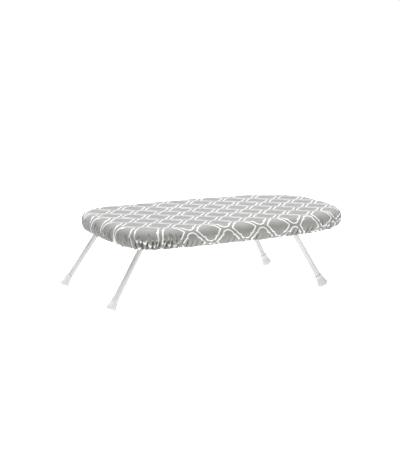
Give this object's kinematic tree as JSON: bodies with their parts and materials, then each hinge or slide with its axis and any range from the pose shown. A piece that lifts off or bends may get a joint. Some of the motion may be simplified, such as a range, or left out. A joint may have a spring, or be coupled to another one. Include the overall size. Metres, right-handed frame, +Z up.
{
  "type": "tabletop ironing board",
  "caption": "Low tabletop ironing board: padded, fabric-covered steel deck with a tapered nose on two fold-away U-shaped tube leg frames with foot caps.",
  "frame": {"origin": "on the surface the board stands on, under the middle of the whole object, feet included", "axes": "+Z up, +X along the board towards its narrow nose, +Y across the board, which is the same on both sides"},
  "size_m": [0.6419, 0.3632, 0.1803],
  "materials": {
    "cover_cotton": "printed cotton, warm grey with a white trellis",
    "elastic": "pale covered elastic",
    "felt": "pressed felt",
    "deck_steel": "satin silver-grey coat",
    "painted_steel": "satin white powder coat",
    "rivet_steel": "bright zinc",
    "cap_plastic": "soft white vinyl",
    "clip_plastic": "moulded white nylon"
  },
  "bodies": {
    "board": {"cover": "cover_cotton", "hem_elastic": "elastic", "felt_pad": "felt", "deck_sheet": "deck_steel", "rim_tube": "painted_steel", "left_channel": "painted_steel", "left_front_saddle": "painted_steel", "left_front_outer_rivet": "rivet_steel", "left_front_inner_rivet": "rivet_steel", "left_front_clip": "clip_plastic", "left_front_clip_rivet": "rivet_steel", "left_rear_saddle": "painted_steel", "left_rear_outer_rivet": "rivet_steel", "left_rear_inner_rivet": "rivet_steel", "left_rear_clip": "clip_plastic", "left_rear_clip_rivet": "rivet_steel", "right_channel": "painted_steel", "right_front_saddle": "painted_steel", "right_front_outer_rivet": "rivet_steel", "right_front_inner_rivet": "rivet_steel", "right_front_clip": "clip_plastic", "right_front_clip_rivet": "rivet_steel", "right_rear_saddle": "painted_steel", "right_rear_outer_rivet": "rivet_steel", "right_rear_inner_rivet": "rivet_steel", "right_rear_clip": "clip_plastic", "right_rear_clip_rivet": "rivet_steel"},
    "left_legs": {"left_leg_frame": "painted_steel", "left_front_cap": "cap_plastic", "left_rear_cap": "cap_plastic", "left_stop_tang": "painted_steel"},
    "right_legs": {"right_leg_frame": "painted_steel", "right_front_cap": "cap_plastic", "right_rear_cap": "cap_plastic", "right_stop_tang": "painted_steel"}
  },
  "joints": [
    {"name": "left_leg_fold", "type": "hinge", "parent": "board", "child": "left_legs", "pos_m": [-0.2163, 0, 0.1485], "axis": [0, -1, 0], "range_deg": [0, 123.8]},
    {"name": "right_leg_fold", "type": "hinge", "parent": "board", "child": "right_legs", "pos_m": [0.1576, 0, 0.1485], "axis": [0, 1, 0], "range_deg": [0, 119.1]}
  ]
}
